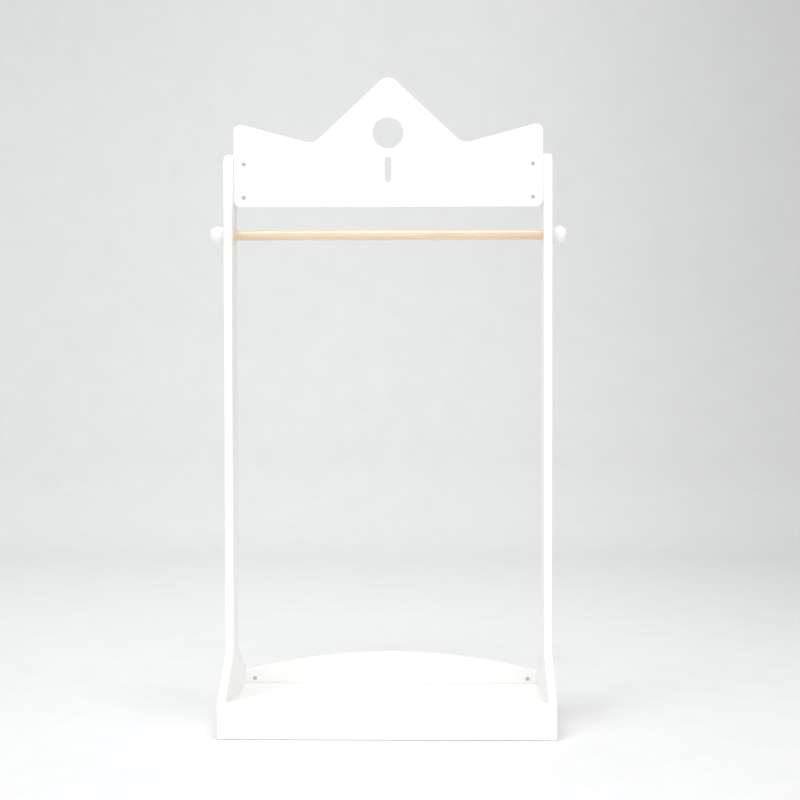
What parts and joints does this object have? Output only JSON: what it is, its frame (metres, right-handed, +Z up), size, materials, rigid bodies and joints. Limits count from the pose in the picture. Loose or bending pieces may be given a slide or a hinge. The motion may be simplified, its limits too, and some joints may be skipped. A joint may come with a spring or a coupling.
{
  "type": "kids clothing rack",
  "caption": "Freestanding white kids clothing rack with a crown-shaped header, a turning wooden hanging rod with ball ends, flared side panels and a low tray base with arched boards.",
  "frame": {"origin": "on the floor under the middle of the rack", "axes": "+Z up, +X to the right seen from the front, +Y to the rear (the front faces -Y)"},
  "size_m": [0.6392, 0.3, 1.1476],
  "materials": {
    "white_paint": "satin white paint over smooth wooden board with eased edges",
    "natural_wood": "pale straight-grained softwood under clear satin lacquer",
    "zinc_steel": "bright zinc plating",
    "dowel_wood": "raw turned beech"
  },
  "bodies": {
    "frame": {"left_side_panel": "white_paint", "right_side_panel": "white_paint", "crown_header_board": "white_paint", "front_base_board": "white_paint", "rear_base_board": "white_paint", "base_shelf": "white_paint", "left_header_bolts": "zinc_steel", "right_header_bolts": "zinc_steel", "left_front_bolt": "zinc_steel", "left_rear_bolt": "zinc_steel", "right_front_bolt": "zinc_steel", "right_rear_bolt": "zinc_steel", "left_header_nuts": "zinc_steel", "right_header_nuts": "zinc_steel", "left_front_nut": "zinc_steel", "left_rear_nut": "zinc_steel", "right_front_nut": "zinc_steel", "right_rear_nut": "zinc_steel", "left_header_dowel": "dowel_wood", "right_header_dowel": "dowel_wood", "left_front_dowel": "dowel_wood", "left_rear_dowel": "dowel_wood", "right_front_dowel": "dowel_wood", "right_rear_dowel": "dowel_wood", "left_shelf_dowels": "dowel_wood", "right_shelf_dowels": "dowel_wood"},
    "rod_set": {"hanging_rod": "natural_wood", "left_ball_finial": "white_paint", "right_ball_finial": "white_paint", "left_ball_screw": "zinc_steel", "right_ball_screw": "zinc_steel"}
  },
  "joints": [
    {"name": "rod_spin", "type": "hinge", "parent": "frame", "child": "rod_set", "pos_m": [0, 0, 0.8695], "axis": [1, 0, 0], "continuous": true}
  ]
}
